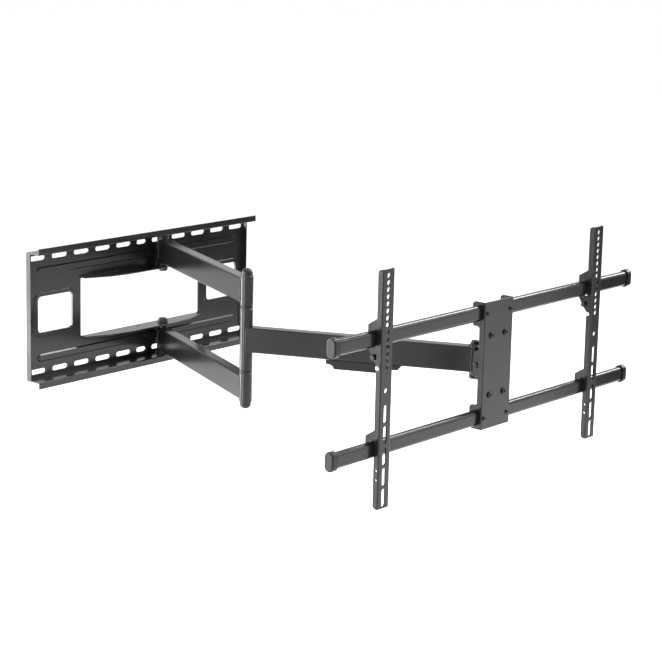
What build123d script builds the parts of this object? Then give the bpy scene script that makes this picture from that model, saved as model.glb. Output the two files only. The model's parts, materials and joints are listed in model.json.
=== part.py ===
from build123d import *
import math
import os

# Full motion wall mount for a large flat television: two rear arms and a forearm carry a two-rail head.
# Millimetres, +Z up. The wall is the plane y = 0 and the television hangs on the -Y side; +X is to the
# right of someone who faces the wall. The origin is the centre of the wall plate's bolt slots.

# ---------------------------------------------------------------- driving dimensions (mm)
RUN_GAP = 0.05                # radial clearance of a pin that turns in a bush
FIT_GAP = 0.1                 # radial clearance of a fixed pin in its hole
SLIP_GAP = 0.4                # clearance between faces that slide past each other
STEEL = 2.5                   # thickness of the pressed sheets

# wall plate
PLATE_W, PLATE_H, PLATE_D = 632.0, 268.0, 40.0
LIP_H = 11.0                  # lips turned out from the top and bottom flanges
SIDE_D = 13.0                 # depth of the two short side flanges
SLOT_ROW_Z = 118.5            # height of each row of bolt slots above and below the middle
SLOT_PITCH, SLOT_FIRST = 59.3, 51.6
SLOT_L, SLOT_L_MID, SLOT_H = 40.0, 26.0, 10.5
LONG_SLOTS = 5                # long slots on each side of the short middle one
OPEN_W, OPEN_H, OPEN_R = 344.0, 124.0, 3.0
TONGUE_TIP, TONGUE_MID, TONGUE_END = 42.0, 36.0, 14.0   # depth of an opening flange along its length
TONGUE_TIP_X, TONGUE_MID_X = 65.0, 112.0
WIRE_HOLE_X, WIRE_HOLE_R = -24.0, 3.0
WINDOW_X, WINDOW_W, WINDOW_H, WINDOW_R = 243.0, 93.0, 76.0, 9.0
FRAME_W, FRAME_T = 9.0, 2.5   # raised frame round each window
RIB_Z, RIB_H, RIB_T, RIB_X = 91.0, 16.0, 3.0, 290.0

# arms
PIVOT_X, PIVOT_Y = 46.0, -22.0
ARM_L = 454.0                 # pivot to pivot, the same for the rear arms and the forearm
REAR_ANGLE = 22.7             # rear arms, turned to the left of straight out
FORE_ANGLE = 25.7             # forearm, turned to the right of straight out
TUBE_W, TUBE_H, TUBE_WALL, TUBE_R = 25.0, 50.0, 2.5, 3.0
ARM_Z = 97.0                  # height of the rear arms above and below the middle
BARREL_R, BARREL_H, BARREL_CHAMFER = 13.0, 58.0, 0.8
MID_BARREL_H = 123.0
PIN_R, PIN_BORE = 6.0, 7.0
BUSH_R, BUSH_FLANGE_R, BUSH_FLANGE_T, BUSH_L = 8.0, 12.0, 1.5, 16.0
WASHER_R = 12.5
NUT_FLATS, NUT_H = 18.0, 8.0
PIVOT_COLLAR, PIVOT_HEAD = 1.5, 5.2       # low head, below the edge of the plate's lip
CAP_R, CAP_RISE, CAP_RIM, CAP_HOLLOW_R = 11.2, 13.0, 3.5, 9.4
COVER_START, COVER_L, COVER_SKIN, COVER_CORNER = 165.0, 150.0, 2.0, 1.5
COVER_SCREWS = (196.0, 250.0)
COVER_D, COVER_MOUTH = 17.5, 6.0          # depth of the trough, and of its open ends
COVER_SCREW_R, COVER_BOSS_R, COVER_SEAT = 1.6, 5.5, 9.0

# head
HEAD_OFFSET = 58.0            # swivel pin to the front faces of the television brackets
TILT_OFFSET, TILT_Z = 36.5, -5.5   # tilt pin to the same faces, and its height
SLEEVE_H = 50.0
EAR_T, EAR_R = 3.0, 9.5
YOKE_W, YOKE_H, YOKE_FRONT, YOKE_SHOULDER = 42.0, 44.0, 25.0, 34.0
CHEEK_T, CHEEK_END_R = 3.0, 7.0
TILT_PIN_R, TILT_HEAD_R, TILT_HEAD_T = 4.0, 5.5, 3.2
TILT_NUT_R, TILT_NUT_T = 6.0, 5.0
TILT_CHEEK_BACK, TILT_CHEEK_LOW, TILT_CHEEK_TOP, TILT_CHEEK_R = 43.0, -33.0, 25.0, 14.0
TILT_FLANGE = 12.0
LOCK_R, LOCK_SLOT, LOCK_SWEEP = 11.0, 1.7, 50.0         # curved slots of the tilt bracket
TILT_WEB_H = 136.0
RAIL_Z = 100.0                # height of the rails above and below the middle
RAIL_H, RAIL_D, RAIL_L, RAIL_WALL, RAIL_R = 30.0, 15.0, 901.0, 2.0, 7.0
RAIL_FRONT = 12.5             # rail front face behind the bracket front faces
CAP_T, CAP_OVER, CAP_SKIRT, CAP_PLUG = 7.5, 3.0, 6.0, 14.0
COL_W, COL_H, COL_FRONT, COL_BACK = 88.0, 243.0, 5.0, 17.0
COL_EAR_BACK, COL_EAR_INNER, EAR_CORNER, EAR_BLEND = 34.0, 75.0, 7.0, 5.0
COL_BOLT_X, COL_BOLT_Z, COL_BOLT_R = 21.5, 57.0, 3.0
COL_HEAD_R, COL_HEAD_T, COL_NUT_R, COL_NUT_T = 6.2, 3.2, 6.0, 5.0
COL_SCREW_X, COL_SCREW_R = 36.0, 2.2
SCREW_HEAD_R, SCREW_HEAD_T = 4.4, 2.4
LEVEL_PIN_R = 5.0
LEVEL_TRAVEL = 3.6            # how far a column bolt moves each way when the head is levelled

# television brackets
LEFT_BRACKET, RIGHT_BRACKET = -331.5, 316.0   # hole lines, from the middle of the column
BRACKET_W, BRACKET_TOP, BRACKET_BOTTOM = 31.5, 224.0, -206.0
BRACKET_D, BRACKET_LIP, BRACKET_SHEET, BRACKET_CORNER = 11.5, 6.5, 3.0, 7.0
BRACKET_SIDE_HOLES = (-136.0, -153.0)
HOLE_PITCH, HOLE_COUNT, HOLE_R = 12.5, 14, 4.6
HOLE_TOP, SINGLE_HOLE_Z = 212.5, 7.5
TV_SLOT_Z, TV_SLOT_PITCH, TV_SLOT_L, TV_SLOTS = -34.5, 38.0, 33.0, 5
HOOK_T, HOOK_BACK = 3.0, 34.0
HOOK_RISE, HOOK_SLOPE, HOOK_TIP = 22.4, 14.0, 5.0   # crest above the rail, fall to the back, end of the tip
LATCH_TIP, LATCH_STEP, LATCH_SLOPE = 5.0, 2.0, 16.0
LATCH_BELLY = 0.62            # how far the latch's round edge bulges, as a part of its width
LATCH_PIN_Z, LATCH_PIN_N, LATCH_PIN_R, LATCH_FOOT_R = 49.5, 7.4, 2.0, 3.8
KNOB_Z, KNOB_N, KNOB_R, KNOB_L = 67.0, 18.0, 5.0, 7.0
LATCH_HEAD_R, LATCH_HEAD_T, LATCH_TAIL_T, SMALL_ROUND = 4.2, 2.5, 2.0, 1.5

# ---------------------------------------------------------------- places worked out from them
PIVOT = (PIVOT_X, PIVOT_Y)
REAR_DIR = (-math.sin(math.radians(REAR_ANGLE)), -math.cos(math.radians(REAR_ANGLE)))
FORE_DIR = (math.sin(math.radians(FORE_ANGLE)), -math.cos(math.radians(FORE_ANGLE)))
ELBOW = (PIVOT_X + ARM_L * REAR_DIR[0], PIVOT_Y + ARM_L * REAR_DIR[1])
HEAD = (ELBOW[0] + ARM_L * FORE_DIR[0], ELBOW[1] + ARM_L * FORE_DIR[1])
FRONT_Y = HEAD[1] - HEAD_OFFSET
HEAD_X = HEAD[0]
TILT_Y = FRONT_Y + TILT_OFFSET
SHELF_Z = PLATE_H / 2 - STEEL             # underside of the top flange
TONGUE_Z = OPEN_H / 2 + STEEL             # outer face of an opening flange
ELBOW_END = ARM_Z + BARREL_H / 2 + BUSH_FLANGE_T
EAR_Z = SLEEVE_H / 2 + BUSH_FLANGE_T + SLIP_GAP
TILT_WEB_N = COL_FRONT + STEEL + SLIP_GAP
NUT_SEAT_N = TILT_WEB_N + STEEL + SLIP_GAP


def save(shape, node):
    """Write one node's solids to its STEP file."""
    export_step(shape, f"parts/{node}.step")


def at(x, y, z=0.0):
    """Location of a point, without any turn."""
    return Location((x, y, z))


def block(x_low, x_high, y_low, y_high, z_low, z_high):
    """Box between two corners."""
    size = (x_high - x_low, y_high - y_low, z_high - z_low)
    middle = ((x_low + x_high) / 2, (y_low + y_high) / 2, (z_low + z_high) / 2)
    return Location(middle) * Box(*size)


def upright(radius, z_low, z_high, x=0.0, y=0.0):
    """Cylinder along Z between two heights."""
    return at(x, y, (z_low + z_high) / 2) * Cylinder(radius, z_high - z_low)


def along_y(radius, x, y_low, y_high, z):
    """Cylinder along Y between two depths."""
    place = Location((x, (y_low + y_high) / 2, z), (90, 0, 0))
    return place * Cylinder(radius, y_high - y_low)


def along_x(radius, x_low, x_high, y, z):
    """Cylinder along X between two widths."""
    place = Location(((x_low + x_high) / 2, y, z), (0, 90, 0))
    return place * Cylinder(radius, x_high - x_low)


def plate_xz(sketch, y_low, y_high):
    """Turn a sketch drawn in (x, z) into a plate between two depths."""
    return Location((0, y_high, 0), (90, 0, 0)) * extrude(sketch, amount=y_high - y_low)


def plate_yz(sketch, x_low, x_high):
    """Turn a sketch drawn in (y, z) into a plate between two widths."""
    plane = Plane(origin=(x_low, 0, 0), x_dir=(0, 1, 0), z_dir=(1, 0, 0))
    return plane * extrude(sketch, amount=x_high - x_low)


def hex_prism(flats, z_low, z_high, x=0.0, y=0.0):
    """Hexagon along Z, with its size across the flats."""
    outline = RegularPolygon(flats / math.sqrt(3), 6)
    return at(x, y, z_low) * extrude(outline, amount=z_high - z_low)


def mirror_z(shape):
    """The same piece below the middle."""
    return mirror(shape, Plane.XY)


def ring(outer, inner, z_low, z_high, x=0.0, y=0.0):
    """Round tube along Z."""
    return upright(outer, z_low, z_high, x, y) - upright(inner, z_low - 1, z_high + 1, x, y)


def depth(behind):
    """World y of a plane behind the front faces of the television brackets."""
    return FRONT_Y + behind


def grid(x_offset, z_offset):
    """The four (x, z) corners of a rectangle round the middle of the head."""
    return [(HEAD_X + sx * x_offset, sz * z_offset) for sx in (-1, 1) for sz in (-1, 1)]


# ---------------------------------------------------------------- wall plate
def slot_places():
    """Centre and length of each bolt slot in a row."""
    places = [(0.0, SLOT_L_MID)]
    for index in range(LONG_SLOTS):
        offset = SLOT_FIRST + index * SLOT_PITCH
        places += [(offset, SLOT_L), (-offset, SLOT_L)]
    return places


def opening_flange():
    """Upper flange of the central opening, deep in the middle and tapered to both ends."""
    half = OPEN_W / 2 - OPEN_R
    right = [(half, 0), (half, -TONGUE_END), (TONGUE_MID_X, -TONGUE_MID), (TONGUE_TIP_X, -TONGUE_TIP)]
    left = [(-x, y) for x, y in reversed(right)]
    outline = make_face(Polyline(*right, *left, close=True))
    return at(0, 0, OPEN_H / 2) * extrude(outline, amount=STEEL)


def rib(z):
    """Pressed stiffening rib: a ridge on the front face."""
    ridge = plate_xz(Pos(0, z) * SlotOverall(2 * RIB_X, RIB_H), -STEEL - RIB_T, -STEEL)
    front_edges = ridge.faces().sort_by(Axis.Y)[0].edges()
    return chamfer(front_edges, RIB_T * 0.8)


def rib_groove(z):
    """Hollow behind a rib."""
    outline = SlotOverall(2 * (RIB_X - STEEL), RIB_H - 2 * STEEL)
    return plate_xz(Pos(0, z) * outline, -RIB_T, 1)


def window_frame(x):
    """Raised frame pressed round a side window."""
    outer = RectangleRounded(WINDOW_W + 2 * FRAME_W, WINDOW_H + 2 * FRAME_W, WINDOW_R + FRAME_W)
    frame = plate_xz(Pos(x, 0) * outer, -STEEL - FRAME_T, -STEEL)
    return chamfer(frame.faces().sort_by(Axis.Y)[0].edges(), FRAME_T * 0.8)


def wall_plate_blank():
    """The plate's tray: face, top and bottom flanges with lips, short side flanges."""
    half_w, half_h = PLATE_W / 2, PLATE_H / 2
    body = block(-half_w, half_w, -STEEL, 0, -half_h, half_h)
    side = block(half_w - STEEL, half_w, -SIDE_D, 0, -half_h, half_h)
    body += side
    body += mirror(side, Plane.YZ)
    shelf = block(-half_w, half_w, -PLATE_D, 0, SHELF_Z, half_h)
    shelf += block(-half_w, half_w, -PLATE_D, -PLATE_D + STEEL, SHELF_Z, half_h + LIP_H)
    shelf = fillet(shelf.edges().filter_by(Axis.X).group_by(Axis.Y)[0].sort_by(Axis.Z)[0], STEEL * 0.8)
    return body + shelf + mirror_z(shelf)


def wall_plate():
    """Pressed plate that is bolted to the studs."""
    body = wall_plate_blank()
    for sign in (-1, 1):
        body += window_frame(sign * WINDOW_X)
        body += rib(sign * RIB_Z)
        body -= rib_groove(sign * RIB_Z)
    body -= plate_xz(RectangleRounded(OPEN_W, OPEN_H, OPEN_R), -STEEL - 1, 1)
    flange = opening_flange()
    body += flange + mirror_z(flange)
    holes = Sketch()
    for sign in (-1, 1):
        holes += Pos(sign * WINDOW_X, 0) * RectangleRounded(WINDOW_W, WINDOW_H, WINDOW_R)
        for x, length in slot_places():
            holes += Pos(x, sign * SLOT_ROW_Z) * SlotOverall(length, SLOT_H)
    body -= plate_xz(holes, -STEEL - FRAME_T - 1, 1)
    body -= upright(PIN_R + FIT_GAP, -PLATE_H, PLATE_H, *PIVOT)
    body -= upright(WIRE_HOLE_R, -TONGUE_Z - 1, -OPEN_H / 2 + 1, WIRE_HOLE_X, -TONGUE_MID / 2)
    return body


# ---------------------------------------------------------------- pivots
def wall_pivot_bolt():
    """Upper pivot bolt: flanged head above the top flange, shank down to the nut."""
    top = PLATE_H / 2
    collar = upright(WASHER_R, top, top + PIVOT_COLLAR, *PIVOT)
    head = hex_prism(NUT_FLATS, top + PIVOT_COLLAR, top + PIVOT_HEAD, *PIVOT)
    shank = upright(PIN_R, OPEN_H / 2 - NUT_H, top, *PIVOT)
    return collar + head + shank


def wall_pivot_nut():
    """Domed lock nut inside the opening."""
    top = OPEN_H / 2
    collar = upright(WASHER_R - 1, top - STEEL, top, *PIVOT)
    body = hex_prism(NUT_FLATS, top - NUT_H, top - STEEL, *PIVOT)
    dome = upright(NUT_FLATS / 2 - 1, top - NUT_H - STEEL, top - NUT_H, *PIVOT)
    dome = fillet(dome.edges().sort_by(Axis.Z)[0], STEEL * 0.9)
    return collar + body + dome - upright(PIN_R, top - NUT_H, top + 1, *PIVOT)


def bush(z_face, direction, x, y):
    """Flanged plastic bush in the end of a barrel; direction is +1 when its flange is on top."""
    inner = PIN_R + RUN_GAP
    flange = ring(BUSH_FLANGE_R, inner, *sorted((z_face, z_face + direction * BUSH_FLANGE_T)), x, y)
    return flange + ring(BUSH_R, inner, *sorted((z_face, z_face - direction * BUSH_L)), x, y)


def bush_pair(z_low, z_high, x, y):
    """The two bushes of one barrel."""
    return [bush(z_high, 1, x, y), bush(z_low, -1, x, y)]


def barrel(z_low, z_high, x, y):
    """Steel barrel welded to a tube, counterbored for a bush at each end."""
    body = upright(BARREL_R, z_low, z_high, x, y)
    body = chamfer(body.edges(), BARREL_CHAMFER)
    body -= upright(PIN_BORE, z_low - 1, z_high + 1, x, y)
    body -= upright(BUSH_R, z_low - 1, z_low + BUSH_L, x, y)
    body -= upright(BUSH_R, z_high - BUSH_L, z_high + 1, x, y)
    return body


def washer(z_low, z_high, x, y):
    """Steel washer between two faces of a pivot."""
    return ring(WASHER_R, PIN_R + FIT_GAP, z_low, z_high, x, y)


def both_halves(shape):
    """A piece of the upper pivot and its twin in the lower one."""
    return [shape, mirror_z(shape)]


# ---------------------------------------------------------------- arms
def arm_tube(start, direction, z, barrel_places):
    """Rectangular arm tube between two pivots, coped to fit round its barrels."""
    outer = RectangleRounded(TUBE_W, TUBE_H, TUBE_R)
    hollow = RectangleRounded(TUBE_W - 2 * TUBE_WALL, TUBE_H - 2 * TUBE_WALL, TUBE_R / 2)
    side = (direction[1], -direction[0], 0)
    plane = Plane(origin=(*start, z), x_dir=side, z_dir=(*direction, 0))
    tube = plane * extrude(outer - hollow, amount=ARM_L)
    for place in barrel_places:
        tube -= upright(BARREL_R, z - TUBE_H, z + TUBE_H, *place)
    return max(tube.solids(), key=lambda solid: solid.volume)


def rear_barrel(place):
    """Barrel of the upper rear arm at one of its pivots."""
    return barrel(ARM_Z - BARREL_H / 2, ARM_Z + BARREL_H / 2, *place)


def elbow_cap():
    """Domed plastic cap over a nut of the elbow pin."""
    dome = upright(CAP_R, ELBOW_END, ELBOW_END + CAP_RISE, *ELBOW)
    dome = fillet(dome.edges().sort_by(Axis.Z)[-1], CAP_RISE - CAP_RIM)
    return dome - upright(CAP_HOLLOW_R, ELBOW_END - 1, ELBOW_END + NUT_H - SLIP_GAP, *ELBOW)


def elbow_pin():
    """Long pin through all three elbow barrels."""
    return upright(PIN_R, -ELBOW_END - NUT_H + 1, ELBOW_END + NUT_H - 1, *ELBOW)


def elbow_nut():
    """Nut under the elbow cap."""
    low, high = ELBOW_END, ELBOW_END + NUT_H - 1
    return hex_prism(NUT_FLATS - 2, low, high, *ELBOW) - upright(PIN_R, low - 1, high + 1, *ELBOW)


def along_forearm(distance, side, z):
    """Point at a distance along the forearm, a side offset to its left, and a height."""
    x = ELBOW[0] + distance * FORE_DIR[0] - side * FORE_DIR[1]
    y = ELBOW[1] + distance * FORE_DIR[1] + side * FORE_DIR[0]
    return (x, y, z)


def cable_cover():
    """Plastic cable guide under the forearm: a trough with stepped ends, open at both of them."""
    bottom = [
        (1.0, -8.0), (9.5, -9.0), (15.0, -12.5), (17.0, -COVER_D), (101.0, -COVER_D),
        (133.0, -9.0), (143.0, -8.5), (146.0, -4.0),
    ]
    face = make_face(Polyline((0, 0), *bottom, (COVER_L, 0), close=True))
    mouths = make_face(Polyline(
        (-1, 1), (-1, -COVER_MOUTH), (COVER_L + 1, -COVER_MOUTH), (COVER_L + 1, 1), close=True,
    ))
    hollow = offset(face, amount=-COVER_SKIN, kind=Kind.INTERSECTION) + mouths
    plane = Plane(
        origin=along_forearm(COVER_START, TUBE_W / 2, -TUBE_H / 2),
        x_dir=(*FORE_DIR, 0),
        z_dir=(FORE_DIR[1], -FORE_DIR[0], 0),
    )
    corners = [corner for corner in face.vertices() if corner.Y < -COVER_MOUTH]
    shell = plane * extrude(fillet(corners, COVER_CORNER), amount=TUBE_W)
    inside = extrude(hollow, amount=TUBE_W - 2 * COVER_SKIN)
    cover = shell - plane * Pos(0, 0, COVER_SKIN) * inside
    for distance in COVER_SCREWS:
        x, y, z = along_forearm(distance, 0.0, -TUBE_H / 2)
        cover += upright(COVER_BOSS_R, z - COVER_D, z, x, y)
        cover -= upright(COVER_SCREW_R + FIT_GAP, z - COVER_D - 1, z + 1, x, y)
        cover -= upright(2 * COVER_SCREW_R + FIT_GAP, z - COVER_D - 1, z - COVER_SEAT, x, y)
    return cover


def cover_screws():
    """Two screws that hold the cable guide to the tube."""
    screws = []
    for distance in COVER_SCREWS:
        x, y, z = along_forearm(distance, 0.0, -TUBE_H / 2)
        shank = upright(COVER_SCREW_R, z - COVER_SEAT, z + TUBE_WALL, x, y)
        screws.append(shank + upright(2 * COVER_SCREW_R, z - COVER_SEAT - 2, z - COVER_SEAT, x, y))
    return screws


def forearm_tube():
    """Forearm tube, tapped under for the cable guide's screws."""
    tube = arm_tube(ELBOW, FORE_DIR, 0.0, (ELBOW, HEAD))
    for distance in COVER_SCREWS:
        x, y, z = along_forearm(distance, 0.0, -TUBE_H / 2)
        tube -= upright(COVER_SCREW_R, z - 1, z + TUBE_WALL + 1, x, y)
    return tube


# ---------------------------------------------------------------- head: swivel yoke and tilt
def yoke():
    """Folded yoke: a front web, ears above and below the sleeve, and two cheeks for the tilt pins."""
    x, y = HEAD
    web_front, web_back = depth(YOKE_FRONT), depth(YOKE_FRONT + EAR_T)
    half_w, height = YOKE_W / 2, EAR_Z + EAR_T
    ear_outline = make_face(Polyline(
        (x - half_w, web_front), (x + half_w, web_front), (x + half_w, depth(YOKE_SHOULDER)),
        (x + EAR_R, y), (x - EAR_R, y), (x - half_w, depth(YOKE_SHOULDER)), close=True,
    )) + Pos(x, y) * Circle(EAR_R)
    ear = at(0, 0, EAR_Z) * extrude(ear_outline, amount=EAR_T)
    body = block(x - half_w, x + half_w, web_front, web_back, -height, height) + ear + mirror_z(ear)
    cheek_outline = make_face(Polyline(
        (web_front, -YOKE_H / 2),
        (web_front, YOKE_H / 2),
        (web_back, YOKE_H / 2),
        (TILT_Y, TILT_Z + CHEEK_END_R),
        (TILT_Y, TILT_Z - CHEEK_END_R),
        (web_back, -YOKE_H / 2),
        close=True,
    )) + Pos(TILT_Y, TILT_Z) * Circle(CHEEK_END_R)
    cheek_outline -= Pos(TILT_Y, TILT_Z) * Circle(TILT_PIN_R)
    for low in (x - half_w, x + half_w - CHEEK_T):
        body += plate_yz(cheek_outline, low, low + CHEEK_T)
    return body - upright(PIN_R + FIT_GAP, -height - 1, height + 1, x, y)


def swivel_bolt():
    """Vertical bolt through the yoke ears and the sleeve."""
    seat = EAR_Z + EAR_T
    head = upright(NUT_FLATS / 2 - 1, seat, seat + NUT_H - 2, *HEAD)
    head = fillet(head.edges().sort_by(Axis.Z)[-1], NUT_H / 2)
    return head + upright(PIN_R, -seat - NUT_H, seat, *HEAD)


def swivel_nut():
    """Lock nut under the lower ear."""
    seat = EAR_Z + EAR_T
    return hex_prism(NUT_FLATS, -seat - NUT_H, -seat, *HEAD) - upright(PIN_R, -seat - NUT_H, -seat, *HEAD)


def tilt_bracket():
    """Channel behind the column: a web bolted to it and two cheeks outside the yoke."""
    web_front, web_back = depth(TILT_WEB_N), depth(TILT_WEB_N + STEEL)
    inner = YOKE_W / 2 + SLIP_GAP
    outer = inner + CHEEK_T
    flange = outer + TILT_FLANGE
    body = block(HEAD_X - flange, HEAD_X + flange, web_front, web_back, -TILT_WEB_H / 2, TILT_WEB_H / 2)
    rear, low, top = depth(TILT_CHEEK_BACK), TILT_CHEEK_LOW, TILT_CHEEK_TOP
    cheek = make_face(Polyline((web_front, low), (rear, low), (rear, top), (web_front, top), close=True))
    cheek = fillet(cheek.vertices().group_by(Axis.X)[-1], TILT_CHEEK_R)
    cheek -= Pos(TILT_Y, TILT_Z) * Circle(TILT_PIN_R + RUN_GAP)
    cheek -= lock_slot()
    body += plate_yz(cheek, HEAD_X - outer, HEAD_X - inner)
    body += plate_yz(cheek, HEAD_X + inner, HEAD_X + outer)
    slots = Sketch()
    level_slot = SlotOverall(2 * (COL_BOLT_R + LEVEL_TRAVEL), 2 * COL_BOLT_R + 1)
    for x, z in grid(COL_BOLT_X, COL_BOLT_Z):
        angle = math.degrees(math.atan2(z, x - HEAD_X)) + 90
        slots += Pos(x, z) * Rot(0, 0, angle) * level_slot
    slots += Pos(HEAD_X, 0) * Circle(LEVEL_PIN_R + RUN_GAP)
    return body - plate_xz(slots, web_front - 1, web_back + 1)


def lock_slot():
    """Curved slot in front of the tilt pin, for the lock screw."""
    band = Circle(LOCK_R + LOCK_SLOT) - Circle(LOCK_R - LOCK_SLOT)
    reach = 2 * LOCK_R
    rise = reach * math.tan(math.radians(LOCK_SWEEP))
    wedge = make_face(Polyline((0, 0), (-reach, -rise), (-reach, rise), close=True))
    return Pos(TILT_Y, TILT_Z) * (band & wedge)


def tilt_bolt(sign):
    """Tilt pivot on one side: a button head outside the cheeks."""
    seat = HEAD_X + sign * (YOKE_W / 2 + CHEEK_T + 2 * SLIP_GAP)
    tip = HEAD_X + sign * (YOKE_W / 2 - CHEEK_T - TILT_NUT_T)
    head = along_x(TILT_HEAD_R, *sorted((seat, seat + sign * TILT_HEAD_T)), TILT_Y, TILT_Z)
    rim = head.edges().sort_by(Axis.X)[-1 if sign > 0 else 0]
    return fillet(rim, TILT_HEAD_T / 2) + along_x(TILT_PIN_R, *sorted((tip, seat)), TILT_Y, TILT_Z)


def tilt_nut(sign):
    """Lock nut of a tilt pivot, inside the yoke."""
    seat = HEAD_X + sign * (YOKE_W / 2 - CHEEK_T)
    low, high = sorted((seat, seat - sign * TILT_NUT_T))
    bore = along_x(TILT_PIN_R, low - 1, high + 1, TILT_Y, TILT_Z)
    return along_x(TILT_NUT_R, low, high, TILT_Y, TILT_Z) - bore


# ---------------------------------------------------------------- head: column and rails
def rail_outline(grow=0.0):
    """Rail section in (y, z): a tube with well rounded top and bottom edges."""
    middle = depth(RAIL_FRONT + RAIL_D / 2)
    return Pos(middle, 0) * RectangleRounded(RAIL_D + 2 * grow, RAIL_H + 2 * grow, RAIL_R + grow)


def column_side():
    """Side outline of the column, in (y, z): a flange with two ears that hold the rails."""
    front, back, rear = depth(COL_FRONT), depth(COL_BACK), depth(COL_EAR_BACK)
    half_h = COL_H / 2
    side = Pos((front + back) / 2, 0) * Rectangle(back - front, COL_H)
    ear = make_face(Polyline(
        (front, COL_EAR_INNER), (rear, COL_EAR_INNER), (rear, half_h), (front, half_h), close=True,
    ))
    ear = fillet(ear.vertices().group_by(Axis.X)[-1], EAR_CORNER)
    side += ear + mirror(ear, Plane.XZ)
    inner_corners = [corner for corner in side.vertices() if abs(corner.X - back) < SLIP_GAP]
    side = fillet(inner_corners, EAR_BLEND)
    for z in (-RAIL_Z, RAIL_Z):
        side -= Pos(0, z) * rail_outline()
    return side


def column():
    """Front column: a channel whose ears let both rails pass through."""
    half_w, half_h = COL_W / 2, COL_H / 2
    front = depth(COL_FRONT)
    side = column_side()
    body = block(HEAD_X - half_w, HEAD_X + half_w, front, front + STEEL, -half_h, half_h)
    body += plate_yz(side, HEAD_X - half_w, HEAD_X - half_w + STEEL)
    body += plate_yz(side, HEAD_X + half_w - STEEL, HEAD_X + half_w)
    body = fillet(body.edges().filter_by(Axis.Z).group_by(Axis.Y)[0], STEEL * 0.8)
    for x, z in grid(COL_BOLT_X, COL_BOLT_Z):
        body -= along_y(COL_BOLT_R, x, front - 1, front + STEEL + 1, z)
    for x, z in grid(COL_SCREW_X, RAIL_Z):
        body -= along_y(COL_SCREW_R, x, front - 1, front + STEEL + 1, z)
    return body


def level_pivot():
    """Stud on the back of the column that the head turns on when it is levelled."""
    neck, seat = depth(COL_FRONT + STEEL), depth(NUT_SEAT_N)
    rivet = along_y(LEVEL_PIN_R + STEEL, HEAD_X, seat, seat + STEEL, 0)
    return rivet + along_y(LEVEL_PIN_R, HEAD_X, neck, seat, 0)


def round_screw(radius, rise, shank_r, x, z, seat, tip):
    """Button-head screw along Y with a hexagon socket."""
    head = along_y(radius, x, seat - rise, seat, z)
    head = fillet(head.edges().sort_by(Axis.Y)[0], rise * 0.6)
    hexagon = RegularPolygon(shank_r * 0.8, 6)
    socket = Location((x, seat - rise - 1, z), (-90, 0, 0)) * extrude(hexagon, amount=rise)
    return head - socket + along_y(shank_r, x, seat, tip, z)


def column_bolts():
    """Four bolts that join the column to the tilt bracket."""
    seat, tip = depth(COL_FRONT), depth(NUT_SEAT_N) + NUT_H
    places = grid(COL_BOLT_X, COL_BOLT_Z)
    return [round_screw(COL_HEAD_R, COL_HEAD_T, COL_BOLT_R, x, z, seat, tip) for x, z in places]


def column_nuts():
    """Nuts of the column bolts, behind the tilt bracket."""
    seat = depth(NUT_SEAT_N)
    nuts = []
    for x, z in grid(COL_BOLT_X, COL_BOLT_Z):
        nut = Location((x, seat, z), (-90, 0, 0)) * extrude(RegularPolygon(COL_NUT_R, 6), amount=COL_NUT_T)
        nuts.append(nut - along_y(COL_BOLT_R, x, seat - 1, seat + NUT_H, z))
    return nuts


def rail_screws():
    """Four screws that clamp the rails in the column."""
    seat, tip = depth(COL_FRONT), depth(RAIL_FRONT + RAIL_WALL)
    places = grid(COL_SCREW_X, RAIL_Z)
    return [round_screw(SCREW_HEAD_R, SCREW_HEAD_T, COL_SCREW_R, x, z, seat, tip) for x, z in places]


def rail_bore():
    """Inside outline of a rail, in (y, z)."""
    return rail_outline(-RAIL_WALL)


def rail(z):
    """Hollow rail that carries both television brackets."""
    tube = plate_yz(rail_outline() - rail_bore(), HEAD_X - RAIL_L / 2, HEAD_X + RAIL_L / 2)
    tube = Pos(0, 0, z) * tube
    for x in (HEAD_X - COL_SCREW_X, HEAD_X + COL_SCREW_X):
        tube -= along_y(COL_SCREW_R, x, depth(RAIL_FRONT) - 1, depth(RAIL_FRONT + RAIL_WALL) + 1, z)
    return tube


def rail_cap(sign, z):
    """Plastic end cap of a rail, with a plug that fits inside the tube."""
    end = HEAD_X + sign * RAIL_L / 2
    rim = plate_yz(rail_outline(CAP_OVER), *sorted((end - sign * CAP_SKIRT, end + sign * CAP_T)))
    outer_face = rim.faces().sort_by(Axis.X)[-1 if sign > 0 else 0]
    rim = fillet(outer_face.edges(), CAP_OVER)
    rim -= plate_yz(rail_outline(), *sorted((end - sign * (CAP_SKIRT + 1), end)))
    plug = plate_yz(rail_bore(), *sorted((end, end - sign * CAP_PLUG)))
    return Pos(0, 0, z) * (rim + plug)


# ---------------------------------------------------------------- television brackets
def hole_outlines(x):
    """Round holes and slots down the face of a bracket, in (x, z)."""
    outline = Pos(x, SINGLE_HOLE_Z) * Circle(HOLE_R)
    for index in range(HOLE_COUNT):
        outline += Pos(x, HOLE_TOP - index * HOLE_PITCH) * Circle(HOLE_R)
    for index in range(TV_SLOTS):
        slot = Rot(0, 0, 90) * SlotOverall(TV_SLOT_L, 2 * HOLE_R)
        outline += Pos(x, TV_SLOT_Z - index * TV_SLOT_PITCH) * slot
    return outline


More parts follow.
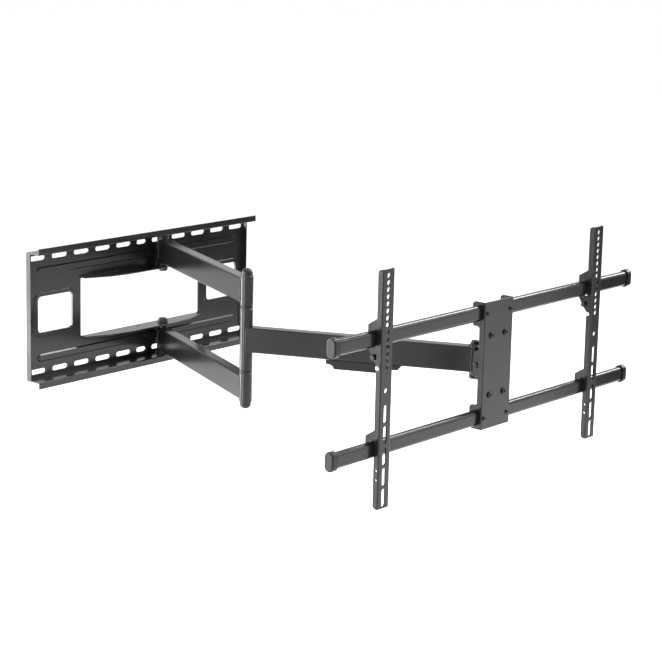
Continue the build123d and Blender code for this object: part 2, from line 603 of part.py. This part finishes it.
def bracket(x):
    """Slotted upright that is screwed to the back of the television."""
    left, right = x - BRACKET_W / 2, x + BRACKET_W / 2
    face = block(left, right, FRONT_Y, depth(BRACKET_SHEET), BRACKET_BOTTOM, BRACKET_TOP)
    side = block(left, left + BRACKET_SHEET, FRONT_Y, depth(BRACKET_D), BRACKET_BOTTOM, BRACKET_TOP)
    side = fillet(side.edges().filter_by(Axis.X).group_by(Axis.Y)[-1], BRACKET_CORNER)
    lip = block(right - BRACKET_SHEET, right, FRONT_Y, depth(BRACKET_LIP), BRACKET_BOTTOM, BRACKET_TOP)
    body = face + side + lip
    body = fillet(body.edges().filter_by(Axis.Z).group_by(Axis.Y)[0], BRACKET_SHEET * 0.8)
    body -= plate_xz(hole_outlines(x), FRONT_Y - 1, depth(BRACKET_SHEET) + 1)
    side_x = left + BRACKET_SHEET
    for z in BRACKET_SIDE_HOLES:
        body -= along_x(HOLE_R / 2, left - 1, side_x + 1, depth(BRACKET_D / 2), z)
    return body - along_x(LATCH_PIN_R, left - 1, side_x + 1, depth(LATCH_PIN_N), LATCH_PIN_Z)


def hook_plate(x, z, tail):
    """Hook welded inside a bracket's deep side; it hangs over the top and back of a rail."""
    low = x - BRACKET_W / 2 + BRACKET_SHEET
    front, back = depth(BRACKET_SHEET), depth(HOOK_BACK)
    crest = z + RAIL_H / 2 + HOOK_RISE
    outline = make_face(Polyline(
        (front, tail),
        (front, crest),
        (depth(BRACKET_D), crest),
        (back, crest - HOOK_SLOPE),
        (back, z + HOOK_TIP),
        (depth(RAIL_FRONT + RAIL_D / 2), z + HOOK_TIP),
        (depth(RAIL_FRONT - SLIP_GAP), tail),
        close=True,
    ))
    outline -= Pos(0, z) * rail_outline(SLIP_GAP)
    below = Rectangle(RAIL_D + 2 * SLIP_GAP, RAIL_H, align=(Align.CENTER, Align.MAX))
    outline -= Pos(depth(RAIL_FRONT + RAIL_D / 2), z) * below
    return plate_yz(outline, low, low + HOOK_T)


def latch_plate(x):
    """Swinging latch that closes the upper hook under its rail."""
    low = x - BRACKET_W / 2 + BRACKET_SHEET
    under = RAIL_Z - RAIL_H / 2 - 2 * SLIP_GAP
    belly = (HOOK_BACK - BRACKET_D) * LATCH_BELLY
    front, pin = depth(LATCH_PIN_N - LATCH_FOOT_R), depth(LATCH_PIN_N)
    lower = (depth(LATCH_PIN_N + LATCH_FOOT_R), LATCH_PIN_Z)
    rear = (depth(HOOK_BACK), under - LATCH_STEP)
    middle = (depth(BRACKET_D) + belly, under - LATCH_STEP - belly)
    edges = Polyline(
        rear,
        (depth(HOOK_BACK), RAIL_Z - LATCH_TIP),
        (depth(RAIL_FRONT + RAIL_D + SLIP_GAP), RAIL_Z - LATCH_TIP),
        (depth(RAIL_FRONT + RAIL_D + SLIP_GAP), under),
        (depth(BRACKET_D), under),
        (front, under - LATCH_SLOPE),
        (front, LATCH_PIN_Z),
        lower,
    ).edges()
    outline = make_face([*edges, ThreePointArc(lower, middle, rear)])
    outline += Pos(pin, LATCH_PIN_Z) * Circle(LATCH_FOOT_R)
    outline -= Pos(pin, LATCH_PIN_Z) * Circle(LATCH_PIN_R + RUN_GAP)
    outline -= Pos(depth(KNOB_N), KNOB_Z) * Circle(LATCH_PIN_R)
    return plate_yz(outline, low, low + HOOK_T)


def latch_knob(x):
    """Black grip on the latch, behind the edge of the bracket's side."""
    face = x - BRACKET_W / 2 + BRACKET_SHEET
    grip = along_x(KNOB_R, face - KNOB_L, face, depth(KNOB_N), KNOB_Z)
    grip = fillet(grip.edges().sort_by(Axis.X)[0], SMALL_ROUND)
    return grip + along_x(LATCH_PIN_R, face, face + HOOK_T, depth(KNOB_N), KNOB_Z)


def latch_screw(x):
    """Bright shoulder screw that the latch turns on."""
    left = x - BRACKET_W / 2
    inner = left + BRACKET_SHEET + HOOK_T + SLIP_GAP
    head = along_x(LATCH_HEAD_R, left - LATCH_HEAD_T, left, depth(LATCH_PIN_N), LATCH_PIN_Z)
    head = fillet(head.edges().sort_by(Axis.X)[0], SMALL_ROUND)
    tail = along_x(LATCH_HEAD_R, inner, inner + LATCH_TAIL_T, depth(LATCH_PIN_N), LATCH_PIN_Z)
    return head + along_x(LATCH_PIN_R, left, inner, depth(LATCH_PIN_N), LATCH_PIN_Z) + tail


def side_nodes(name, offset):
    """Nodes of one television bracket assembly."""
    x = HEAD_X + offset
    hooks = [hook_plate(x, RAIL_Z, RAIL_Z - RAIL_H / 2), hook_plate(x, -RAIL_Z, -RAIL_Z - RAIL_H / 2)]
    return {
        f"{name}_bracket": [bracket(x)],
        f"{name}_hooks": hooks,
        f"{name}_latch": [latch_plate(x)],
        f"{name}_latch_knob": [latch_knob(x)],
        f"{name}_latch_screw": [latch_screw(x)],
    }


def pivot_nodes():
    """Bolts, nuts, bushes and washers of the four vertical pivots."""
    low, high = ARM_Z - BARREL_H / 2, ARM_Z + BARREL_H / 2
    wall_bushes = bush_pair(low, high, *PIVOT)
    elbow_bushes = bush_pair(low, high, *ELBOW)
    wall_washers = [
        washer(TONGUE_Z, low - BUSH_FLANGE_T - SLIP_GAP, *PIVOT),
        washer(high + BUSH_FLANGE_T + SLIP_GAP, SHELF_Z, *PIVOT),
    ]
    elbow_washer = washer(MID_BARREL_H / 2 + BUSH_FLANGE_T + SLIP_GAP, low - BUSH_FLANGE_T, *ELBOW)
    return {
        "wall_pivot_bolts": both_halves(wall_pivot_bolt()),
        "wall_pivot_nuts": both_halves(wall_pivot_nut()),
        "wall_pivot_washers": wall_washers + [mirror_z(piece) for piece in wall_washers],
        "wall_pivot_bushes": wall_bushes + [mirror_z(piece) for piece in wall_bushes],
        "rear_elbow_bushes": elbow_bushes + [mirror_z(piece) for piece in elbow_bushes],
        "elbow_washers": both_halves(elbow_washer),
        "elbow_pin": [elbow_pin()],
        "elbow_nuts": both_halves(elbow_nut()),
        "elbow_caps": both_halves(elbow_cap()),
        "fore_elbow_bushes": bush_pair(-MID_BARREL_H / 2, MID_BARREL_H / 2, *ELBOW),
        "head_bushes": bush_pair(-SLEEVE_H / 2, SLEEVE_H / 2, *HEAD),
        "swivel_bolt": [swivel_bolt()],
        "swivel_nut": [swivel_nut()],
    }


def arm_nodes():
    """Tubes, barrels and the cable guide."""
    upper_tube = arm_tube(PIVOT, REAR_DIR, ARM_Z, (PIVOT, ELBOW))
    return {
        "upper_rear_arm": [upper_tube],
        "lower_rear_arm": [mirror_z(upper_tube)],
        "wall_barrels": both_halves(rear_barrel(PIVOT)),
        "rear_elbow_barrels": both_halves(rear_barrel(ELBOW)),
        "forearm_tube": [forearm_tube()],
        "fore_elbow_barrel": [barrel(-MID_BARREL_H / 2, MID_BARREL_H / 2, *ELBOW)],
        "head_sleeve": [barrel(-SLEEVE_H / 2, SLEEVE_H / 2, *HEAD)],
        "cable_cover": [cable_cover()],
        "cable_cover_screws": cover_screws(),
    }


def head_nodes():
    """Yoke, tilt bracket, column, rails and their fasteners."""
    return {
        "swivel_yoke": [yoke()],
        "tilt_bolts": [tilt_bolt(-1), tilt_bolt(1)],
        "tilt_nuts": [tilt_nut(-1), tilt_nut(1)],
        "tilt_bracket": [tilt_bracket()],
        "column": [column()],
        "level_pivot": [level_pivot()],
        "column_bolts": column_bolts(),
        "column_nuts": column_nuts(),
        "rail_screws": rail_screws(),
        "upper_rail": [rail(RAIL_Z)],
        "lower_rail": [rail(-RAIL_Z)],
        "upper_rail_caps": [rail_cap(sign, RAIL_Z) for sign in (-1, 1)],
        "lower_rail_caps": [rail_cap(sign, -RAIL_Z) for sign in (-1, 1)],
    }


def main():
    """Build every node and write its STEP file."""
    os.makedirs("parts", exist_ok=True)
    nodes = {
        "wall_plate": [wall_plate()],
        **pivot_nodes(),
        **arm_nodes(),
        **head_nodes(),
        **side_nodes("left", LEFT_BRACKET),
        **side_nodes("right", RIGHT_BRACKET),
    }
    for name, solids in nodes.items():
        save(solids[0] if len(solids) == 1 else Compound(children=solids), name)


main()
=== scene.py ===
"""Looks of a full motion television wall mount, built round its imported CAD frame."""
import json
import logging
import math
from dataclasses import dataclass, field
from enum import Enum

import bpy
from mathutils import Matrix, Vector


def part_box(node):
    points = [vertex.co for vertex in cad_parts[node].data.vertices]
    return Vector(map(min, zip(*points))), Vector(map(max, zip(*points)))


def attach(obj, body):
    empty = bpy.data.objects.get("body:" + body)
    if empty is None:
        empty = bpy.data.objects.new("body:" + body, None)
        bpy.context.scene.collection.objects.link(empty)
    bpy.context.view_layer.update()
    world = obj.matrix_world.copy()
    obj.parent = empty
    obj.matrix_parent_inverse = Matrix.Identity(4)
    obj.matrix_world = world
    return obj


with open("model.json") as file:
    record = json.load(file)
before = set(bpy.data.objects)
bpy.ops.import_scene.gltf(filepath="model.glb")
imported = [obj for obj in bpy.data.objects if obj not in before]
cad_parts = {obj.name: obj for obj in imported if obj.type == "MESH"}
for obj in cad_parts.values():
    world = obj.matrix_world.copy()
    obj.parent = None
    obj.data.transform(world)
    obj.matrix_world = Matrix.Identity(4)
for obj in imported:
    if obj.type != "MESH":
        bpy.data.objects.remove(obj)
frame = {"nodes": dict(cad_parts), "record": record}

LOG = logging.getLogger("tv_mount")
MM = 0.001                     # the frame is in metres
CLOUD = 70.0 * MM              # size of the slow drift in colour and gloss over a finish


def linear(code: str) -> tuple[float, float, float, float]:
    """Turn an sRGB hex colour such as "#1c1c1e" into linear RGBA."""
    channels = [int(code[i:i + 2], 16) / 255 for i in (1, 3, 5)]
    bent = [c / 12.92 if c <= 0.04045 else ((c + 0.055) / 1.055) ** 2.4 for c in channels]
    return (*bent, 1.0)


def add_node(
    tree: bpy.types.NodeTree,
    kind: str,
    settings: dict[str, object] | None = None,
    inputs: dict[str | int, object] | None = None,
) -> bpy.types.Node:
    """Add a shader node, set it up and link it.

    Args:
        tree: node tree that gets the node.
        kind: Blender's class name of the node.
        settings: properties of the node.
        inputs: a value or an output socket for each input, by name or number.

    Returns:
        The new node.
    """
    node = tree.nodes.new(kind)
    for name, value in (settings or {}).items():
        setattr(node, name, value)
    for name, value in (inputs or {}).items():
        if isinstance(value, bpy.types.NodeSocket):
            tree.links.new(value, node.inputs[name])
        else:
            node.inputs[name].default_value = value
    return node


class Slot(Enum):
    """Material slots of the record."""

    POWDER_COAT = "powder_coat"
    BLACK_PLASTIC = "black_plastic"
    BUSH_PLASTIC = "bush_plastic"
    DARK_FASTENER = "dark_fastener"
    ZINC_SCREW = "zinc_screw"


@dataclass(frozen=True)
class Finish:
    """A surface with fine grain in its colour, its gloss and its relief, and a painted highlight on its
    edges.

    Sizes are in millimetres. The grain is drawn coarser than the real one, so that it shows.
    """

    name: str
    light: str                 # colour on the high spots of the grain
    dark: str                  # colour in the low spots
    roughness: tuple[float, float]
    metallic: float
    ior: float
    grain_mm: float
    relief_mm: float
    edge_mm: float             # radius that the eye sees on sharp edges
    edge_highlight: str                # lighter colour painted on edges as a highlight

    @staticmethod
    def edge_highlight_mask(
        tree: bpy.types.NodeTree, round_edge: bpy.types.Node, cloud: bpy.types.Node,
    ) -> bpy.types.Node:
        """Mask of the painted edge highlight: high where the rounded normal leaves the flat one, broken up
        by the cloud.
        """
        flat = add_node(tree, "ShaderNodeNewGeometry").outputs["Normal"]
        same = add_node(tree, "ShaderNodeVectorMath", {"operation": "DOT_PRODUCT"}, {
            0: round_edge.outputs["Normal"], 1: flat})
        bent = add_node(tree, "ShaderNodeMapRange", {}, {
            "Value": same.outputs["Value"], "From Min": 0.99, "From Max": 0.8, "To Min": 0.0, "To Max": 1.0})
        return add_node(tree, "ShaderNodeMath", {"operation": "MULTIPLY", "use_clamp": True}, {
            0: bent.outputs["Result"], 1: cloud.outputs["Fac"]})

    def material(self) -> bpy.types.Material:
        """Build the node material.

        Returns:
            The finished material.
        """
        made = bpy.data.materials.new(self.name)
        made.use_nodes = True
        tree = made.node_tree
        tree.nodes.clear()
        place = add_node(tree, "ShaderNodeTexCoord").outputs["Object"]
        grain = add_node(tree, "ShaderNodeTexNoise", {}, {
            "Vector": place, "Scale": 1 / (self.grain_mm * MM), "Detail": 2.0, "Roughness": 0.55})
        cloud = add_node(tree, "ShaderNodeTexNoise", {}, {
            "Vector": place, "Scale": 1 / CLOUD, "Detail": 3.0, "Roughness": 0.5})
        half_grain = add_node(tree, "ShaderNodeMath", {"operation": "MULTIPLY"}, {
            0: grain.outputs["Fac"], 1: 0.5})
        both = add_node(tree, "ShaderNodeMath", {"operation": "MULTIPLY_ADD", "use_clamp": True}, {
            0: cloud.outputs["Fac"], 1: 0.5, 2: half_grain.outputs["Value"]})
        colour = add_node(tree, "ShaderNodeMix", {"data_type": "RGBA"}, {
            0: both.outputs["Value"], 6: linear(self.dark), 7: linear(self.light)})
        round_edge = add_node(tree, "ShaderNodeBevel", {"samples": 4}, {"Radius": self.edge_mm * MM})
        # painted highlight: edges are mixed towards a lighter colour, standing in for light caught on
        # rounded edges
        edge = self.edge_highlight_mask(tree, round_edge, cloud)
        with_edge_highlight = add_node(tree, "ShaderNodeMix", {"data_type": "RGBA"}, {
            0: edge.outputs["Value"], 6: colour.outputs[2], 7: linear(self.edge_highlight)})
        gloss = add_node(tree, "ShaderNodeMapRange", {}, {
            "Value": both.outputs["Value"], "From Min": 0.2, "From Max": 0.8,
            "To Min": self.roughness[0], "To Max": self.roughness[1]})
        relief = add_node(tree, "ShaderNodeBump", {}, {
            "Height": grain.outputs["Fac"], "Strength": 0.5, "Distance": self.relief_mm * MM,
            "Normal": round_edge.outputs["Normal"]})
        shader = add_node(tree, "ShaderNodeBsdfPrincipled", {}, {
            "Base Color": with_edge_highlight.outputs[2], "Roughness": gloss.outputs["Result"],
            "Normal": relief.outputs["Normal"], "Metallic": self.metallic, "IOR": self.ior})
        add_node(tree, "ShaderNodeOutputMaterial", {}, {"Surface": shader.outputs["BSDF"]})
        return made


# The last colour of each finish is the painted highlight on its edges.
FINISHES: dict[Slot, Finish] = {
    # Polyester powder coat on steel: a half-gloss black skin with a fine orange peel.
    Slot.POWDER_COAT: Finish(
        "half_gloss_black_powder_coat", "#1b1b1c", "#101011", (0.17, 0.27), 0.0, 1.43, 2.0, 0.06, 0.8,
        "#2a2a2c"),
    # Injection-moulded polypropylene with a spark-eroded texture: deeper black and matt.
    Slot.BLACK_PLASTIC: Finish(
        "textured_black_polypropylene", "#101011", "#08080a", (0.28, 0.38), 0.0, 1.4, 1.0, 0.03, 0.9,
        "#1a1a1c"),
    # Acetal bearing bushes: smooth, slightly waxy black.
    Slot.BUSH_PLASTIC: Finish(
        "black_acetal", "#19191a", "#121213", (0.3, 0.38), 0.0, 1.48, 2.0, 0.008, 0.3, "#222223"),
    # Black oxide on steel fasteners: dark metal with an oiled sheen.
    Slot.DARK_FASTENER: Finish(
        "black_oxide_steel", "#1c1c1e", "#101012", (0.25, 0.36), 0.5, 1.5, 0.5, 0.01, 0.4, "#4c4c4e"),
    # Bright zinc plating with a faint blue passivation.
    Slot.ZINC_SCREW: Finish(
        "bright_zinc_plate", "#d4d6d8", "#b9bcc0", (0.2, 0.32), 1.0, 1.5, 0.4, 0.005, 0.3, "#e4e5e6"),
}


@dataclass
class Dresser:
    """Gives every CAD node the finish of its material slot."""

    record: dict
    made: dict[Slot, bpy.types.Material] = field(default_factory=dict)

    def finish(self, slot: Slot) -> bpy.types.Material:
        """The material of a slot, built once."""
        if slot not in self.made:
            self.made[slot] = FINISHES[slot].material()
        return self.made[slot]

    def dress(self) -> None:
        """Put a finish on each CAD node."""
        for part in self.record["subparts"]:
            node = frame["nodes"][part["node"]]
            slot = Slot(part["material_slot"])
            node.data.materials.clear()
            node.data.materials.append(self.finish(slot))
            LOG.info("%s dressed as %s", part["node"], slot.value)


@dataclass(frozen=True)
class SoftBox:
    """A soft area light, in metres and watts."""

    name: str
    place: tuple[float, float, float]
    aim: tuple[float, float, float]
    size: tuple[float, float]
    watts: float


SOFT_BOXES = (
    SoftBox("overhead", (0.2, -0.9, 2.6), (0.0, -0.5, 0.0), (2.4, 2.4), 40.0),
    SoftBox("front_right", (2.6, -3.4, 1.5), (0.1, -0.9, 0.0), (1.2, 1.4), 20.0),
    SoftBox("high_right_strip", (2.1, -1.1, 1.9), (0.0, -0.5, 0.0), (0.5, 1.8), 85.0),
    SoftBox("left_strip", (-1.22, -0.29, 0.1), (-0.13, -0.44, 0.0), (0.1, 1.1), 9.0),
    SoftBox("back_left_strip", (-0.68, 0.72, 0.1), (-0.13, -0.44, 0.0), (0.2, 1.1), 22.0),
    SoftBox("plate_edge_strip", (-0.92, 0.48, 0.1), (-0.32, 0.0, 0.0), (0.16, 1.1), 12.0),
)


@dataclass
class Studio:
    """Pale floor, black flag, soft boxes and the camera. Lengths are in metres, angles in degrees."""

    flag_place: tuple[float, float, float] = (1.53, -1.29, -0.2)
    flag_aim: tuple[float, float, float] = (0.0, 0.0, -0.2)
    flag_size: tuple[float, float] = (0.68, 0.6)
    surround_strength: float = 1.05

    aim: tuple[float, float, float] = (0.5118, 0.0, 0.0076)
    azimuth: float = -47.93
    elevation: float = 10.79
    roll: float = 1.09
    distance: float = 4.496
    lens: float = 104.03
    shift: tuple[float, float] = (0.0468, -0.1042)
    floor_z: float = -0.5
    floor_size: float = 60.0

    def camera(self) -> None:
        """Place the camera, aimed and then rolled about its own line of sight."""
        a, e = math.radians(self.azimuth), math.radians(self.elevation)
        back = Vector((math.sin(a) * math.cos(e), -math.cos(a) * math.cos(e), math.sin(e)))
        data = bpy.data.cameras.new("camera")
        data.lens = self.lens
        data.sensor_width = 36.0
        data.shift_x, data.shift_y = self.shift
        data.clip_end = 50.0
        camera = bpy.data.objects.new("camera", data)
        bpy.context.collection.objects.link(camera)
        turn = back.to_track_quat("Z", "Y").to_matrix().to_4x4()
        roll = Matrix.Rotation(math.radians(self.roll), 4, "Z")
        camera.matrix_world = Matrix.Translation(Vector(self.aim) + back * self.distance) @ turn @ roll
        bpy.context.scene.camera = camera

    def floor(self) -> None:
        """Large pale floor that runs up into the background."""
        bpy.ops.object.select_all(action="DESELECT")
        bpy.ops.mesh.primitive_plane_add(size=self.floor_size, location=(0.0, 0.0, self.floor_z))
        floor = bpy.context.object
        floor.name = "floor"
        made = bpy.data.materials.new("white_studio_paper")
        made.use_nodes = True
        shader = made.node_tree.nodes["Principled BSDF"]
        shader.inputs["Base Color"].default_value = linear("#fafafa")
        shader.inputs["Roughness"].default_value = 0.9
        floor.data.materials.append(made)

    def flag(self) -> None:
        """Low black board on the right that the wall plate mirrors, unseen by the camera itself."""
        bpy.ops.object.select_all(action="DESELECT")
        bpy.ops.mesh.primitive_plane_add(size=1.0)
        board = bpy.context.object
        board.name = "black_flag"
        bpy.ops.object.mode_set(mode="EDIT")
        bpy.ops.mesh.select_all(action="SELECT")
        bpy.ops.transform.resize(value=(*self.flag_size, 1.0))
        bpy.ops.object.mode_set(mode="OBJECT")
        self.face(board, Vector(self.flag_place), Vector(self.flag_aim))
        made = bpy.data.materials.new("black_velvet")
        made.use_nodes = True
        shader = made.node_tree.nodes["Principled BSDF"]
        shader.inputs["Base Color"].default_value = linear("#050505")
        shader.inputs["Roughness"].default_value = 1.0
        board.data.materials.append(made)
        board.visible_camera = False
        board.visible_diffuse = False
        board.visible_shadow = False

    @staticmethod
    def face(item: bpy.types.Object, place: Vector, aim: Vector) -> None:
        """Stand something at a place so that it looks at a point."""
        item.location = place
        item.rotation_mode = "QUATERNION"
        item.rotation_quaternion = (place - aim).to_track_quat("Z", "Y")

    def light(self, box: SoftBox) -> None:
        """Add one soft box, which the camera doesn't see.

        Args:
            box: its name, place, aim, size and power.
        """
        data = bpy.data.lights.new(box.name, "AREA")
        data.shape = "RECTANGLE"
        data.size, data.size_y = box.size
        data.energy = box.watts
        lamp = bpy.data.objects.new(box.name, data)
        bpy.context.collection.objects.link(lamp)
        lamp.visible_camera = False
        self.face(lamp, Vector(box.place), Vector(box.aim))

    def surround(self) -> None:
        """White surround, seen without a tone curve."""
        world = bpy.data.worlds.new("white_surround")
        world.use_nodes = True
        sky = world.node_tree.nodes["Background"]
        sky.inputs["Color"].default_value = (1.0, 1.0, 1.0, 1.0)
        sky.inputs["Strength"].default_value = self.surround_strength
        bpy.context.scene.world = world
        bpy.context.scene.view_settings.view_transform = "Standard"

    def build(self) -> None:
        """Set up the whole stage."""
        self.camera()
        self.floor()
        self.flag()
        self.surround()
        for box in SOFT_BOXES:
            self.light(box)
        LOG.info("studio ready")


@dataclass(frozen=True)
class Bead:
    """A weld bead along Z: overlapping coins of metal under the paint, in metres."""

    name: str
    x: float
    y: float
    z_low: float
    z_high: float
    body: str
    radius: float = 1.5 * MM
    pitch: float = 1.3 * MM
    squash: float = 0.75         # height of a coin, as a part of its width

    def build(self, finish: bpy.types.Material) -> bpy.types.Object:
        """Model the bead and let it ride on its body.

        Args:
            finish: material of the pieces that it joins.

        Returns:
            The bead.
        """
        bpy.ops.object.select_all(action="DESELECT")
        bpy.ops.mesh.primitive_uv_sphere_add(segments=10, ring_count=6, radius=self.radius)
        bead = bpy.context.object
        bead.name = self.name
        bpy.ops.object.mode_set(mode="EDIT")
        bpy.ops.mesh.select_all(action="SELECT")
        bpy.ops.transform.resize(value=(1.0, 1.0, self.squash))
        bpy.ops.transform.translate(value=(self.x, self.y, self.z_low + self.radius))
        bpy.ops.object.mode_set(mode="OBJECT")
        row = bead.modifiers.new("coins", "ARRAY")
        row.use_relative_offset = False
        row.use_constant_offset = True
        row.constant_offset_displace = (0.0, 0.0, self.pitch)
        row.count = int((self.z_high - self.z_low - 2 * self.radius) / self.pitch) + 1
        bpy.ops.object.modifier_apply(modifier=row.name)
        bpy.ops.object.shade_smooth()
        bead.data.materials.append(finish)
        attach(bead, self.body)
        LOG.info("%s rides on %s", self.name, self.body)
        return bead


@dataclass
class ArmWelds:
    """Beads down both sides of an arm tube, where it meets the barrels at its ends."""

    label: str
    body: str
    tube: str
    near: Vector
    far: Vector

    BARREL_R = 13.0 * MM
    TUBE_HALF = 12.5 * MM
    CLEAR_Z = 4.0 * MM           # bare stretch above and below a bead

    def beads(self) -> list[Bead]:
        """Work out the four beads of the tube.

        Returns:
            Beads at both ends, on both sides.
        """
        low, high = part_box(self.tube)
        along = (self.far - self.near).to_2d().normalized()
        across = Vector((-along.y, along.x))
        reach = math.sqrt(self.BARREL_R ** 2 - self.TUBE_HALF ** 2)
        ends = {"near": self.near.to_2d() + along * reach, "far": self.far.to_2d() - along * reach}
        made = []
        for end, foot in ends.items():
            for side, sign in (("left", 1), ("right", -1)):
                spot = foot + across * sign * self.TUBE_HALF
                made.append(Bead(
                    f"{self.label}_{end}_{side}_weld", spot.x, spot.y,
                    low[2] + self.CLEAR_Z, high[2] - self.CLEAR_Z, self.body))
        return made


def joint_place(name: str) -> Vector:
    """Where a joint's axis passes, from the record."""
    joints = frame["record"]["behaviour"]["joints"]
    return Vector(next(joint["pos_m"] for joint in joints if joint["name"] == name))


def arm_welds() -> list[ArmWelds]:
    """The weld sets of the three arm tubes."""
    wall, elbow, head = (joint_place(f"{name}_swivel") for name in ("wall", "elbow", "head"))
    return [
        ArmWelds("upper_arm", "rear_arms", "upper_rear_arm", wall, elbow),
        ArmWelds("lower_arm", "rear_arms", "lower_rear_arm", wall, elbow),
        ArmWelds("forearm", "forearm", "forearm_tube", elbow, head),
    ]


def main() -> None:
    """Build the looks in order."""
    logging.basicConfig(level=logging.INFO, format="%(name)s: %(message)s")
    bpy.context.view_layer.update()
    Studio().build()
    dresser = Dresser(frame["record"])
    dresser.dress()
    for welds in arm_welds():
        for bead in welds.beads():
            bead.build(dresser.finish(Slot.POWDER_COAT))


if __name__ == "__main__":
    main()
